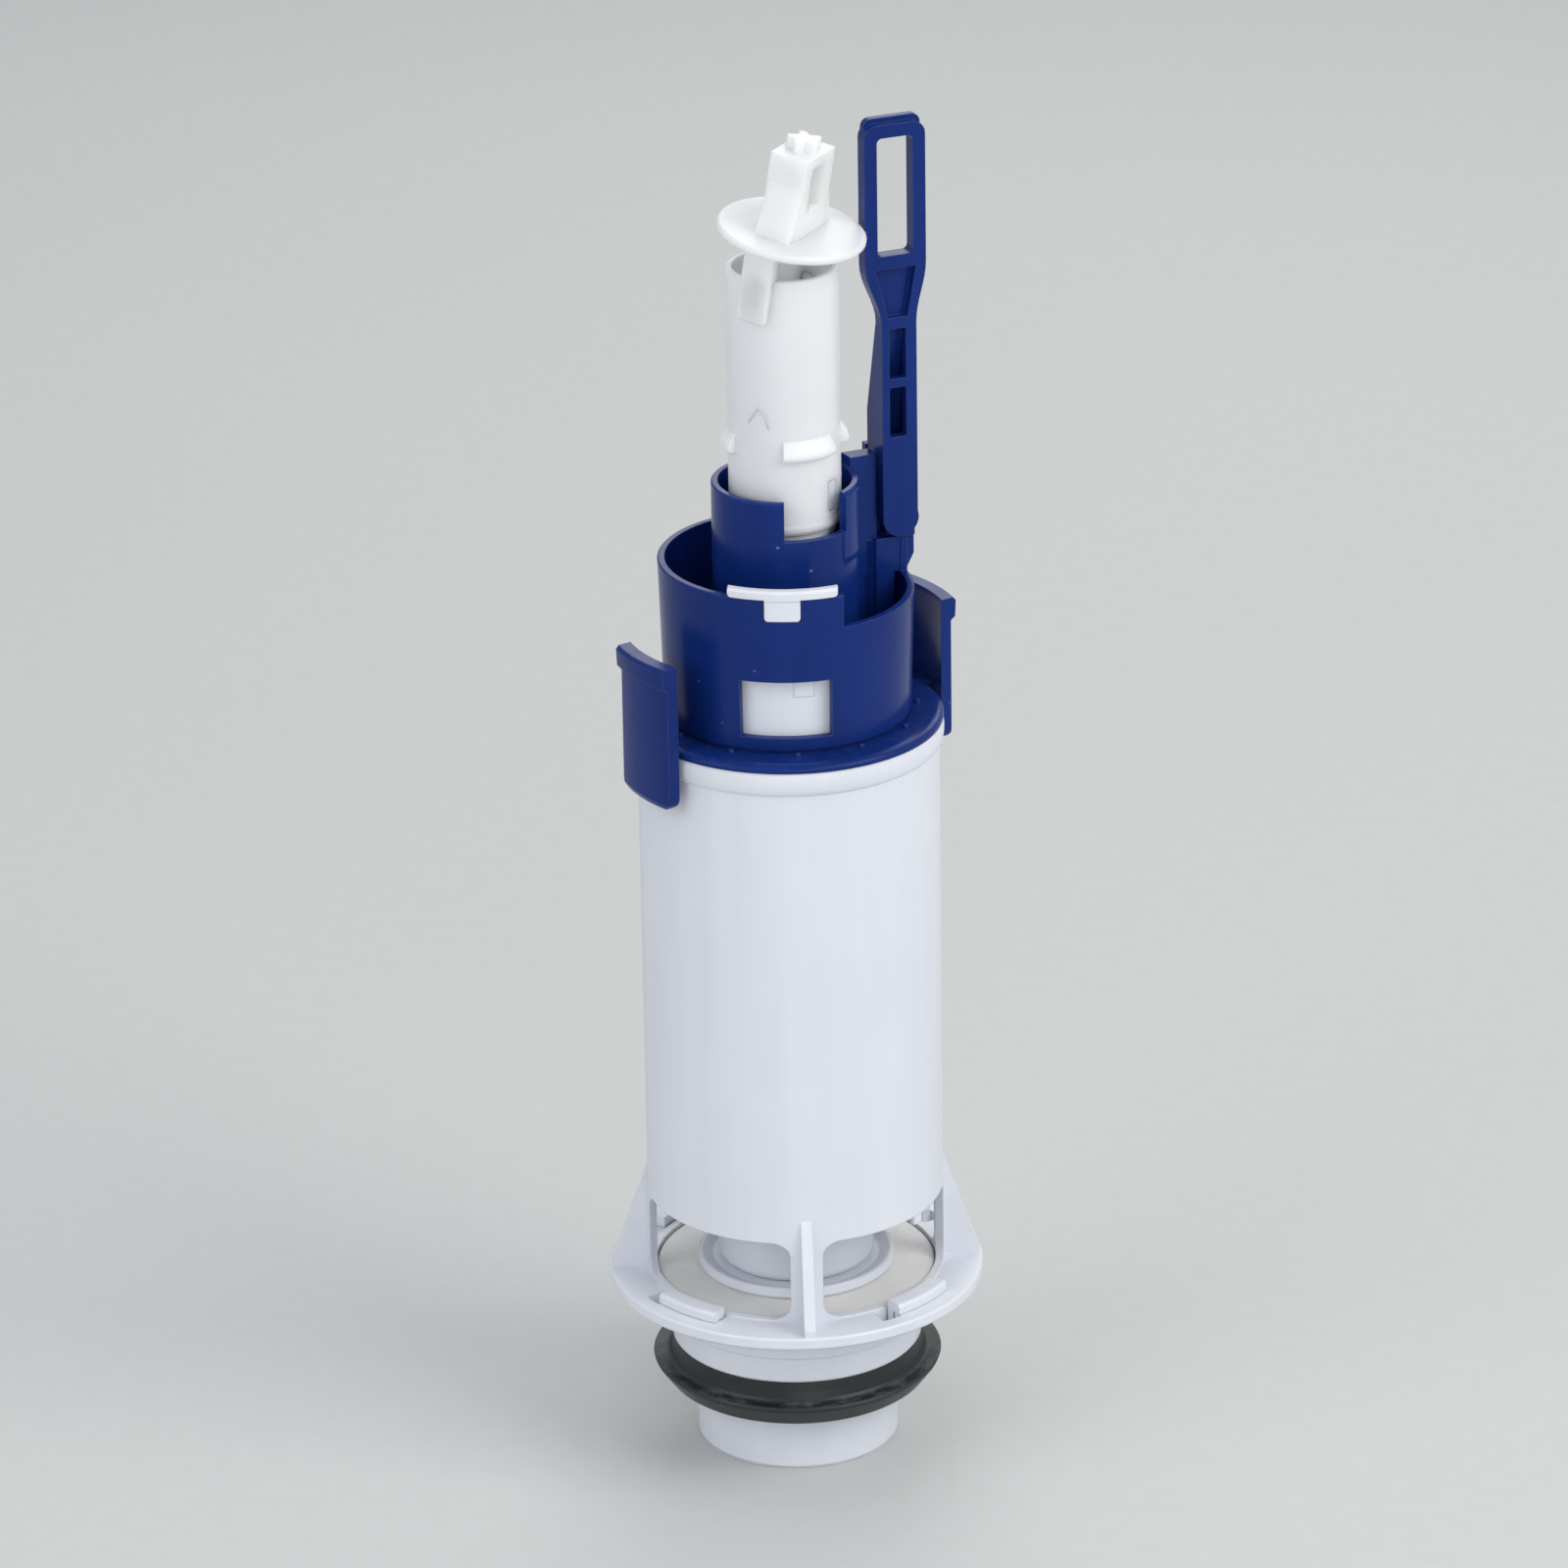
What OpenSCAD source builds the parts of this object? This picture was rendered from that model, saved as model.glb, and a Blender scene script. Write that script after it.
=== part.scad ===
// Dual flush toilet valve: a basket housing on an outlet spigot, a blue control head,
// and an overflow stem that carries the flush seal. Millimetres, +Z up the stem.
// The origin is the centre of the spigot's lower end. One housing rib points to -Y.

/* [Outlet] */
// Outside radius of the outlet spigot
spigot_r = 22.9; // [20:0.1:25]
// Wall of the spigot
spigot_wall = 2; // [1.5:0.1:3]
// Reach of the collar past the seat's raised ring
collar_w = 2.2; // [1.8:0.1:3]
// Height of the collar's lower face, where the lip seal ends
collar_z = 24.6; // [22:0.1:27]
// Height of the collar below its step
collar_h = 5.9; // [4:0.1:7]
// Reach of the lip seal past the collar
lip_out = 4.5; // [3.8:0.1:6]
// Height of the lip seal, foot to top
lip_h = 10; // [8:0.1:12]
// Radius of the raised ring that the flush seal closes on
seat_lip_r = 26.2; // [25:0.1:28]

/* [Housing] */
// Wall of the housing
housing_wall = 1.8; // [1.4:0.1:2.2]
// Height of the housing's open top
housing_top_z = 176; // [165:1:190]
// Reach of the bead round the top
bead_out = 1; // [0.6:0.1:1.6]
// Height of the bead
bead_h = 5.6; // [4:0.1:7]
// Width of the foot flange outside the wall
flange_w = 8.9; // [7.5:0.1:12]
// Height of the flange's lower face
flange_z = 39.6; // [38.5:0.1:41]
// Thickness of the flange
flange_t = 3; // [2.4:0.1:4]
// Height of the windows above the flange
window_h = 19.4; // [16:0.1:21]
// Corner radius of the windows
window_corner = 3.6; // [2:0.1:5]
// Width of the posts between the windows
post_w = 7.8; // [6:0.1:10]
// Thickness of the radial ribs
rib_t = 2.6; // [2:0.1:3.5]
// Height of the ribs above the flange
rib_h = 26; // [23:0.1:30]

/* [Seal and stem] */
// Radius of the flush seal
seal_r = 31.5; // [31:0.1:32]
// Radius of the hole in the flush seal
seal_hole_r = 16; // [15:0.1:17]
// Thickness of the flush seal
seal_t = 3; // [2.5:0.1:3.5]
// Width of the dish outside its nut
dish_w = 4.7; // [4.2:0.1:7]
// Height of the dish
dish_h = 2.8; // [2.4:0.1:4]
// Outside radius of the inner overflow pipe
pipe_r = 10.7; // [9.6:0.1:11.8]
// Wall of the inner overflow pipe
pipe_wall = 1.7; // [1.5:0.1:2]
// Water gap between the full flush float and the housing
float_gap = 3.2; // [2:0.1:6]
// Room left over the full flush float when the stem is lifted
float_room = 4; // [2:0.5:20]
// Wall of the upper overflow tube
tube_wall = 1.35; // [1.2:0.05:1.8]
// Height of the upper overflow tube's foot above the blue ring
tube_rise = 44.7; // [43:0.1:48]
// Length of the upper overflow tube
tube_h = 59; // [50:1:70]
// Reach of the tube's bayonet lugs
lug_out = 1.9; // [1.4:0.1:2.8]
// Lift of the stem when it is pulled
lift = 20; // [15:1:20]

/* [Control head] */
// Thickness of the blue ring
ring_t = 1.8; // [1.4:0.1:2.4]
// Outside radius of the chamber at its foot
chamber_foot_r = 27.4; // [26.5:0.1:28]
// Flare of the chamber from foot to rim
chamber_flare = 1; // [0.5:0.1:2]
// Wall of the chamber
chamber_wall = 1.6; // [1.2:0.1:2]
// Height of the chamber
chamber_h = 36.5; // [34:0.1:40]
// Depth of the cut in the chamber rim
rim_drop = 7.7; // [4:0.1:8]
// Room between the overflow pipe and the inner sleeve
sleeve_room = 4.1; // [3.7:0.1:5]
// Wall of the inner sleeve
sleeve_wall = 1.5; // [1.2:0.1:1.6]
// Height of the inner sleeve above the chamber's foot
sleeve_h = 54.2; // [50:0.1:58]
// Height of the window in the chamber
view_h = 13.3; // [8:0.1:14]
// Direction of the chamber window and of the clip above it
view_turn = -96; // [-110:1:-85]
// Half of the angle that the window spans
view_half = 21.5; // [10:0.5:24]
// Water gap between the half flush float and the chamber
half_gap = 0.7; // [0.5:0.1:1.5]
// Height of the half flush float
half_float_h = 17.6; // [12:0.1:18]
// Free travel of the half flush float
half_travel = 8; // [4:0.5:8]

/* [Lever] */
// Direction of the lever from the stem
lever_turn = 18; // [12:1:24]
// Distance from the stem's axis to the middle of the lever
lever_u = 26.4; // [25:0.1:27]
// Width of the lever's bar
bar_w = 8.2; // [8:0.1:10]
// Depth of the lever's bar
bar_d = 9; // [8.4:0.1:10]
// Width of the lever's loop
loop_w = 14.4; // [12:0.1:15]
// Depth of the lever's loop
loop_d = 3.6; // [3:0.1:6]
// Inside length of the loop
loop_len = 27; // [20:0.5:30]
// Height of the lever's foot above the chamber rim
lever_rise = 0.9; // [0.5:0.1:3]
// Length of the lever above its foot
lever_h = 96.8; // [90:0.1:104]

/* [Latches] */
// Direction of the latch pair
latch_turn = 29; // [24:1:34]
// Room between the blue ring and a latch
latch_room = 1.5; // [1.2:0.1:2.5]
// Thickness of a latch
latch_t = 2.6; // [2.4:0.1:2.8]
// Half of the angle that a latch spans
latch_half = 14; // [10:0.5:18]
// Height of a latch
latch_h = 33.6; // [28:0.1:38]

/* [Lift hook] */
// Radius of the splash disc
disc_r = 16.4; // [15:0.1:16.6]
// Thickness of the splash disc
disc_t = 1.8; // [1.4:0.1:2.4]
// Height of the disc above the hook's pegs
disc_rise = 14; // [13.4:0.1:16]
// Direction of the hook's front leg
hook_turn = -123; // [-135:1:-110]
// Lean of the hook at rest
hook_lean = 9.7; // [0:0.1:10]
// Width of the hook's legs
leg_w = 7; // [5:0.1:8]
// Height of the eye above the disc
eye_h = 21.3; // [18:0.1:24]

/* [Clearances] */
// Room round the flush seal
seal_room = 0.3; // [0.3:0.05:0.8]
// Gap between pieces that slide past each other
slide_gap = 0.35; // [0.3:0.01:0.4]
// Gap between pieces that are pushed together by hand
seat_gap = 0.25; // [0.15:0.01:0.3]
// Gap round a peg or a hinge bead
peg_gap = 0.08; // [0.05:0.01:0.1]

/* [Hidden] */
$fn = 96;

blue = "#1d2f7d";
white = "#eceef2";
milky = "#f3f3f0";
silicone = "#b9b5a9";
black = "#1b1b1d";
over = 0.5;

// Housing
housing_in_r = seal_r + seal_room;
housing_r = housing_in_r + housing_wall;
bead_r = housing_r + bead_out;
bead_z = housing_top_z - bead_h;
flange_r = housing_r + flange_w;
flange_top_z = flange_z + flange_t;
window_half_w = housing_r * sin(45) - post_w / 2 * cos(45);
window_sill = 0.4;
rib_out = flange_r - 0.7;
nub_turn = -38;

// Outlet and seat levels
collar_r = seat_lip_r + collar_w;
collar_step_z = collar_z + collar_h;
lip_r = collar_r + lip_out;
spigot_bore_r = spigot_r - spigot_wall;
seat_bore_r = seat_lip_r - 0.7;
seal_z = flange_z - 0.2;
seal_top_z = seal_z + seal_t;
seat_lip_z = seal_z - 0.2;
seat_floor_z = seat_lip_z - 1.2;
seat_plate_z = flange_z - 2.8;
throat_z = collar_z - 1.6;
lip_foot_z = collar_z - 0.1 - lip_h;
lip_seat_r = spigot_r - 0.3;

// Bayonet hooks that hold the spigot to the flange
hook_r_in = housing_r + 0.3 + slide_gap;
hook_r_stem = hook_r_in + 2;
hook_r_out = hook_r_stem + 2.35;
seat_plate_r = hook_r_stem + 0.15;
hook_claw_z = flange_top_z + 0.1;
hook_top_z = flange_top_z + 2.4;
hook_half = 12.5;
hook_entry = 6;

// Control head
ring_r = bead_r - 0.1;
ring_top_z = housing_top_z + ring_t;
floor_t = 1.8;
floor_top_z = ring_top_z + floor_t;
rim_z = ring_top_z + chamber_h;
cut_rim_z = rim_z - rim_drop;
sleeve_top_z = ring_top_z + sleeve_h;
sleeve_in_r = pipe_r + sleeve_room;
sleeve_r = sleeve_in_r + sleeve_wall;
ring_hole_r = sleeve_r + 3.7;
chamber_rim_r = chamber_foot_r + chamber_flare;
view_z = floor_top_z + 1.9;
skirt_h = 8;
skirt_r = housing_in_r - slide_gap;

// Half flush float and the clip that stops it
half_float_r = chamber_foot_r - chamber_wall - half_gap;
half_float_z = floor_top_z + 0.2;
half_float_top_z = half_float_z + half_float_h;
half_stop_z = half_float_top_z + half_travel + 0.3;
half_wall = 1.3;
half_span = 62;
guide_h = 6;
clip_w = 24.1;
clip_stem_w = 7.9;
clip_corner = 0.8;
clip_bar_h = 2;
clip_stem_h = 5.2;

// Stem
hub_r = seal_hole_r - 3;
foot_r = seal_hole_r + 3;
foot_t = 2.4;
vane_t = 1.6;
vane_z = 2;
vane_r = spigot_bore_r - slide_gap;
nut_r = hub_r + 4.6;
dish_r = nut_r + dish_w;
dish_t = 1.8;
nut_z = seal_top_z + dish_t;
nut_h = 13.8;
nut_round = 2.4;
float_r = housing_in_r - float_gap;
float_z = nut_z + nut_h;
float_skirt_z = float_z + 6;
float_top_z = housing_top_z - skirt_h - lift - float_room;
float_wall = 1.5;
float_clip_t = 2.8;
tube_z = ring_top_z + tube_rise;
pipe_top_z = tube_z + 22;
tube_in_r = pipe_r + seat_gap;
tube_r = tube_in_r + tube_wall;
lug_r = tube_r + lug_out;
tube_top_z = tube_z + tube_h;
o_ring_z = pipe_top_z - 4.6;
o_ring_h = 1.6;
o_ring_depth = 0.8;
lug_z = tube_z + 18;
lug_h = 5;
lug_half = 27;
lug_turns = [-68, 20, 111, 180];
snap_turn = -36;
snap_w = 3;
snap_h = 7;
snap_z = tube_z + 4.4;

// Lever, in its own frame: u away from the stem, v across, with the seen face at the lowest v
lever_z = rim_z + lever_rise;
lever_top_z = lever_z + lever_h;
bar_face_v = -2.7;
bar_back_v = bar_face_v + bar_d;
bar_wall = 1.4;
lever_corner = 4.2;
plate_t = 2.4;
lip_w = 1.3;
lip_t = 1.8;
bar_in = lever_u - bar_w / 2;
bar_out = lever_u + bar_w / 2;
loop_wall = 3;
loop_shift = -0.7;
loop_u = lever_u + loop_shift;
loop_top_z = lever_top_z - 1.2;
loop_z = loop_top_z - loop_wall - loop_len;
neck_z = loop_z - 16;
box_z = sleeve_top_z + 4;
slot_w = 4;
slot_h = 11.6;
slot_pitch = 13.6;
slot_top_z = neck_z - 1;
toe_t = 2.7;
toe_w = 2.8;
toe_v = bar_back_v - 3.4;
toe_z = half_stop_z + 1.2;
toe_tip_u = pipe_r + 0.7;
collar_gap = 0.3;
lift_collar_z = toe_z + toe_t + collar_gap;
lift_collar_t = 2.2;
lift_collar_r = sleeve_in_r - 0.45;

// Guide tower that the lever slides on
tower_top_z = sleeve_top_z + 2.4;
tower_z = toe_z - 0.6;
tower_back_v = bar_back_v + slide_gap;
tower_t = 2;
tower_out = bar_out - 0.3;
tower_foot_v = -1.6;
tower_stem_z = half_stop_z - half_float_h + guide_h + 1;
tower_stem_out = chamber_foot_r - 2;
tower_foot_z = lever_z - 0.4;
tower_front_v = 0;
tower_block_t = 4;
tower_in = sleeve_in_r - 4;
rail_half = bar_w / 2 - bar_wall - slide_gap;
rail_neck_half = rail_half - lip_w - 0.1;
rail_front_v = bar_face_v + plate_t + 0.3;
rail_step_v = bar_back_v - lip_t - slide_gap;

// Latches
latch_z = ring_top_z - 13;
latch_in_r = ring_r + latch_room;
latch_r = latch_in_r + latch_t;
latch_corner = 3;
bead_hinge_r = 0.9;
hinge_w = 8;
hinge_z = housing_top_z + ring_t / 2;
hinge_u = latch_in_r + 0.75;
ear_t = 1.2;
toe_reach_r = housing_r + 0.5;
toe_top_z = bead_z - 0.4;

// Lift hook
peg_r = 1.5;
peg_z = tube_top_z - 6.6;
leg_t = 1.5;
leg_in_r = tube_r + slide_gap;
leg_low = 2.6;
shoulder_low = 7.45;
eye_w = 12.8;
eye_d = 9;
eye_wall = 3.8;
eye_top = 2.7;
eye_sill = 6;
crown_r = 4;
crown_h = 2.6;
brace_h = 12;
brace_reach = 3;

// Ring between two radii
module ring(r_in, r_out, z, h) {
    translate([0, 0, z])
        difference() {
            cylinder(r = r_out, h = h);
            translate([0, 0, -over]) cylinder(r = r_in, h = h + 2 * over);
        }
}

// Piece of a ring, centred on a direction
module arc_block(r_in, r_out, z, h, half, turn) {
    rotate([0, 0, turn - half])
        rotate_extrude(angle = 2 * half)
            translate([r_in, z]) square([r_out - r_in, h]);
}

// Rectangle with round corners
module round_rect(w, h, r) {
    translate([r, 0]) square([w - 2 * r, h]);
    translate([0, r]) square([w, h - 2 * r]);
    for (x = [r, w - r], y = [r, h - r])
        translate([x, y]) circle(r = r, $fn = 32);
}

// Outline in the plane of u and z, given depth along v
module upright(v, depth) {
    translate([0, v + depth, 0])
        rotate([90, 0, 0])
            linear_extrude(height = depth) children();
}

// White spigot: outlet tube, seat ring and the hooks that go up through the flange
module outlet_spigot() {
    color(white) {
        rotate_extrude()
            polygon([
                [spigot_bore_r, 0], [spigot_r - 0.6, 0], [spigot_r, 0.8], [spigot_r, lip_foot_z - 0.2],
                [lip_seat_r, lip_foot_z - 0.2], [lip_seat_r, collar_z], [collar_r - 0.4, collar_z],
                [collar_r, collar_z + 0.5], [collar_r, collar_step_z],
                [collar_r + 0.5, collar_step_z + 0.4], [collar_r + 0.5, seat_plate_z],
                [seat_plate_r, seat_plate_z], [seat_plate_r, flange_z], [housing_in_r, flange_z],
                [housing_in_r - 0.6, seat_floor_z], [seat_lip_r + 0.9, seat_floor_z],
                [seat_lip_r + 0.4, seat_lip_z], [seat_bore_r, seat_lip_z],
                [seat_bore_r, throat_z + 8], [spigot_bore_r, throat_z]
            ]);
        for (turn = [45 : 90 : 315])
            seat_hook(turn);
    }
}

// One bayonet hook: a stem in the slot of the flange and a claw that lies over it
module seat_hook(turn) {
    rotate([0, 0, turn - hook_half])
        rotate_extrude(angle = 2 * hook_half)
            polygon([
                [hook_r_in, flange_z - over], [hook_r_stem, flange_z - over], [hook_r_stem, hook_claw_z],
                [hook_r_out, hook_claw_z], [hook_r_out, hook_top_z - 0.6], [hook_r_out - 0.6, hook_top_z],
                [hook_r_in, hook_top_z]
            ]);
}

// Black rubber seal with an outward lip
module outlet_lip_seal() {
    bore = lip_seat_r + seat_gap / 2;
    top = lip_foot_z + lip_h;
    foot = lip_foot_z;
    color(black)
        rotate_extrude()
            polygon([
                [bore, foot], [lip_r - 4.2, foot], [lip_r - 3.1, foot + 0.8], [lip_r - 0.3, foot + 4.6],
                [lip_r, foot + 5.4], [lip_r - 0.3, foot + 5.9], [lip_r - 2.9, foot + 5.6],
                [lip_r - 3.4, foot + 5.8], [lip_r - 3.8, foot + 6.4], [collar_r + 0.2, foot + 8],
                [collar_r - 0.3, top], [bore, top]
            ]);
}

// White housing: foot flange, ribs and posts, tall cylinder with a bead
module housing_basket() {
    color(white) {
        difference() {
            rotate_extrude()
                polygon([
                    [housing_in_r, flange_z], [flange_r - 0.6, flange_z], [flange_r, flange_z + 0.6],
                    [flange_r, flange_top_z - 0.4], [flange_r - 0.4, flange_top_z], [housing_r, flange_top_z],
                    for (a = [0 : 15 : 150])
                        [housing_r + bead_out * sin(a), bead_z + bead_h * (1 - cos(a)) / (1 - cos(150))],
                    [housing_in_r, housing_top_z]
                ]);
            for (turn = [45 : 90 : 315]) {
                rotate([0, 0, turn]) basket_window();
                flange_slot(turn);
            }
        }
        for (turn = [0 : 90 : 270])
            rotate([0, 0, turn]) basket_rib();
        for (turn = [nub_turn, nub_turn + 180])
            arc_block(housing_in_r + 0.4, housing_r - 0.4, flange_top_z + window_h - 2.4, 4, 2.6, turn);
    }
}

// Window with round corners between two posts
module basket_window() {
    translate([housing_in_r * cos(45) - over, -window_half_w, flange_top_z + window_sill])
        rotate([90, 0, 90])
            linear_extrude(height = housing_r)
                round_rect(2 * window_half_w, window_h - window_sill, window_corner);
}

// Slot in the flange for one bayonet hook, with the wider pocket that its claw enters by
module flange_slot(turn) {
    slot_in = hook_r_in - slide_gap;
    entry_half = hook_entry / 2 + 0.5;
    arc_block(slot_in, hook_r_stem + slide_gap, flange_z - over, flange_t + 2 * over, hook_half + 0.6, turn);
    arc_block(slot_in + 0.2, hook_r_out + slide_gap, flange_z - 1, flange_t + 2, entry_half,
        turn - hook_half - entry_half + 0.4);
}

// Radial rib from a post down to the flange
module basket_rib() {
    upright(-rib_t / 2, rib_t)
        polygon([
            [housing_in_r + 0.4, flange_top_z - over], [rib_out, flange_top_z - over],
            [rib_out, flange_top_z + 1.4], [housing_r - 0.4, flange_top_z + rib_h],
            [housing_in_r + 0.4, flange_top_z + rib_h]
        ]);
}

// Blue ring that closes the housing, with the beads that the latches hinge on
module head_ring() {
    color(blue) {
        rotate_extrude()
            polygon([
                [ring_hole_r, housing_top_z], [skirt_r - 1.6, housing_top_z],
                [skirt_r - 1.6, housing_top_z - skirt_h], [skirt_r, housing_top_z - skirt_h + 0.6],
                [skirt_r, housing_top_z], [ring_r, housing_top_z],
                for (a = [90 : -15 : 0])
                    [ring_r - 2.4 * (1 - sin(a)), ring_top_z - 1.2 * (1 - cos(a))],
                [ring_hole_r, ring_top_z]
            ]);
        for (turn = [latch_turn, latch_turn + 180])
            rotate([0, 0, turn]) hinge_ear();
    }
}

// Ear with a round bead, a hinge for one latch
module hinge_ear() {
    translate([ring_r - 1, -hinge_w / 2, hinge_z - ear_t / 2])
        cube([hinge_u - ring_r + 1, hinge_w, ear_t]);
    translate([hinge_u, hinge_w / 2, hinge_z])
        rotate([90, 0, 0]) cylinder(r = bead_hinge_r, h = hinge_w, $fn = 48);
}

// Release latch: a curved finger plate with a lip at the top and a toe under the housing bead
module latch() {
    socket_w = hinge_w + 2 * slide_gap;
    rotate([0, 0, latch_turn]) {
        difference() {
            intersection() {
                rotate([0, 0, -latch_half - 3])
                    rotate_extrude(angle = 2 * latch_half + 6)
                        polygon([
                            [latch_in_r + 0.6, latch_z], [latch_r - 0.6, latch_z], [latch_r, latch_z + 1.2],
                            [latch_r, latch_z + latch_h - 5.4], [latch_r + 1.1, latch_z + latch_h - 4.6],
                            [latch_r + 1.3, latch_z + latch_h - 0.8], [latch_r + 0.6, latch_z + latch_h],
                            [latch_in_r + 0.2, latch_z + latch_h], [latch_in_r, latch_z + latch_h - 1],
                            [latch_in_r, latch_z + 1]
                        ]);
                latch_face();
            }
            translate([hinge_u, socket_w / 2, hinge_z])
                rotate([90, 0, 0]) cylinder(r = bead_hinge_r + peg_gap, h = socket_w, $fn = 48);
            translate([latch_in_r - 4, -socket_w / 2, hinge_z - ear_t / 2 - 0.5])
                cube([hinge_u - latch_in_r + 4, socket_w, ear_t + 1]);
        }
        latch_toe();
    }
}

// Toe that catches under the housing's bead
module latch_toe() {
    half = 8;
    rotate([0, 0, -half])
        rotate_extrude(angle = 2 * half)
            polygon([
                [latch_in_r + 0.8, toe_top_z], [toe_reach_r, toe_top_z], [toe_reach_r, toe_top_z - 1.4],
                [latch_in_r + 0.8, toe_top_z - 4.4]
            ]);
}

// Outline of a latch seen from outside, with round lower corners
module latch_face() {
    half_w = latch_r * sin(latch_half);
    bottom = latch_z - 0.3;
    translate([0, -half_w, bottom])
        rotate([90, 0, 90])
            linear_extrude(height = latch_r + 5) {
                translate([0, latch_corner]) square([2 * half_w, latch_h]);
                translate([latch_corner, 0]) square([2 * (half_w - latch_corner), 2 * latch_corner]);
                for (x = [latch_corner, 2 * half_w - latch_corner])
                    translate([x, latch_corner]) circle(r = latch_corner, $fn = 48);
            }
}

module latch_left() {
    color(blue) rotate([0, 0, 180]) latch();
}

module latch_right() {
    color(blue) latch();
}

// Blue chamber: tapered cup, inner sleeve and the tower that guides the lever
module control_chamber() {
    color(blue)
        difference() {
            union() {
                difference() {
                    chamber_shell();
                    rim_cut();
                }
                lever_tower();
                sleeve_rail();
            }
            view_window();
            clip_notch();
            sleeve_notch();
            toe_slot();
        }
}

// Tapered outer wall, floor, inner sleeve and the foot that sits in the ring
module chamber_shell() {
    foot_in = ring_hole_r - seat_gap;
    rotate_extrude()
        polygon([
            [sleeve_in_r, ring_top_z - 2], [foot_in, ring_top_z - 2], [foot_in, ring_top_z],
            [chamber_foot_r - 0.9, ring_top_z], [chamber_foot_r - 0.9, ring_top_z + 0.9],
            [chamber_foot_r, ring_top_z + 0.9], [chamber_rim_r, rim_z - 0.3], [chamber_rim_r - 0.3, rim_z],
            [chamber_rim_r - chamber_wall, rim_z], [chamber_foot_r - chamber_wall, floor_top_z],
            [sleeve_r, floor_top_z], [sleeve_r, sleeve_top_z - 0.3], [sleeve_r - 0.3, sleeve_top_z],
            [sleeve_in_r, sleeve_top_z]
        ]);
}

// Raised panel down the outside of the sleeve, with a sloping foot
module sleeve_rail() {
    foot = sleeve_top_z - 20;
    half = 13;
    root = sleeve_r - sleeve_wall / 2;
    rotate([0, 0, view_turn + 65.5 - half])
        rotate_extrude(angle = 2 * half)
            polygon([
                [root, foot], [sleeve_r + 0.4, foot + 5], [sleeve_r + 0.4, sleeve_top_z - 0.8],
                [root, sleeve_top_z - 0.8]
            ]);
}

// Lower stretch of the rim, from beside the clip round to the lever
module rim_cut() {
    start = view_turn + 28;
    stop = lever_turn - 4;
    arc_block(chamber_foot_r - chamber_wall - 2, chamber_rim_r + 2, cut_rim_z, rim_drop + over,
        (stop - start) / 2, (stop + start) / 2);
}

// Notch in the top of the sleeve
module sleeve_notch() {
    start = view_turn + 1;
    stop = view_turn + 55;
    arc_block(sleeve_in_r - 1, sleeve_r + 2, sleeve_top_z - 9, 9 + over,
        (stop - start) / 2, (stop + start) / 2);
}

// Window through which the half flush float is seen
module view_window() {
    arc_block(chamber_foot_r - chamber_wall - 2, chamber_rim_r + 2, view_z, view_h, view_half, view_turn + 1);
}

// Notch in the rim for the stem of the clip
module clip_notch() {
    notch_w = clip_stem_w + 2 * seat_gap;
    rotate([0, 0, view_turn])
        translate([chamber_foot_r - chamber_wall - 2, -notch_w / 2, rim_z - clip_stem_h])
            cube([chamber_wall + 6, notch_w, clip_stem_h + over]);
}

// Tower beside the sleeve: back plate, inner block and the T rail inside the lever
module lever_tower() {
    rotate([0, 0, lever_turn])
        difference() {
            union() {
                translate([0, 0, tower_z])
                    linear_extrude(height = tower_top_z - tower_z) tower_plan();
                upright(tower_foot_v, tower_back_v + 1 - tower_foot_v)
                    polygon([
                        [bar_in - 1.4, tower_stem_z + 0.4], [tower_stem_out - 0.3, tower_stem_z + 0.4],
                        [tower_stem_out - 0.3, tower_z + 0.4], [tower_out - 0.3, tower_z + 0.4],
                        [tower_out - 0.3, tower_foot_z], [bar_in - 1.4, tower_foot_z]
                    ]);
                translate([0, 0, tower_stem_z + 0.8])
                    linear_extrude(height = tower_foot_z - tower_stem_z - 1.2)
                        polygon([
                            [bar_in - 4, tower_front_v + 0.6], [bar_in - 1.1, tower_foot_v + 0.2],
                            [bar_in, tower_foot_v + 0.2], [bar_in, tower_front_v + 0.6]
                        ]);
                translate([tower_in, tower_front_v + 0.3, tower_stem_z])
                    cube([tower_stem_out - tower_in, tower_back_v + 1, tower_z + 1 - tower_stem_z]);
            }
            upright(tower_foot_v - 1, bar_d + tower_t + 5)
                polygon([
                    [tower_out - 3, tower_z - 1], [tower_out + 1, tower_z - 1], [tower_out + 1, tower_z + 6.7]
                ]);
            translate([0, tower_block_t, tower_top_z - 6])
                cube([bar_in - 0.3, bar_d + tower_t, 7]);
            translate([0, 0, tower_stem_z - 1])
                cylinder(r = sleeve_in_r + sleeve_wall / 2, h = tower_top_z - tower_stem_z + 2);
        }
}

// Plan of the tower: the block beside the sleeve, the back plate and the T rail, in one outline
module tower_plan() {
    block_out = bar_in - 0.6;
    plate_v = tower_back_v + tower_t;
    rail_in = lever_u - rail_half;
    rail_out = lever_u + rail_half;
    neck_in = lever_u - rail_neck_half;
    neck_out = lever_u + rail_neck_half;
    polygon([
        [tower_in, tower_front_v], [block_out, tower_front_v], [block_out, tower_back_v],
        [neck_in, tower_back_v], [neck_in, rail_step_v], [rail_in, rail_step_v], [rail_in, rail_front_v],
        [rail_out, rail_front_v], [rail_out, rail_step_v], [neck_out, rail_step_v], [neck_out, tower_back_v],
        [tower_out, tower_back_v], [tower_out, plate_v], [tower_in, plate_v]
    ]);
}

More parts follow.
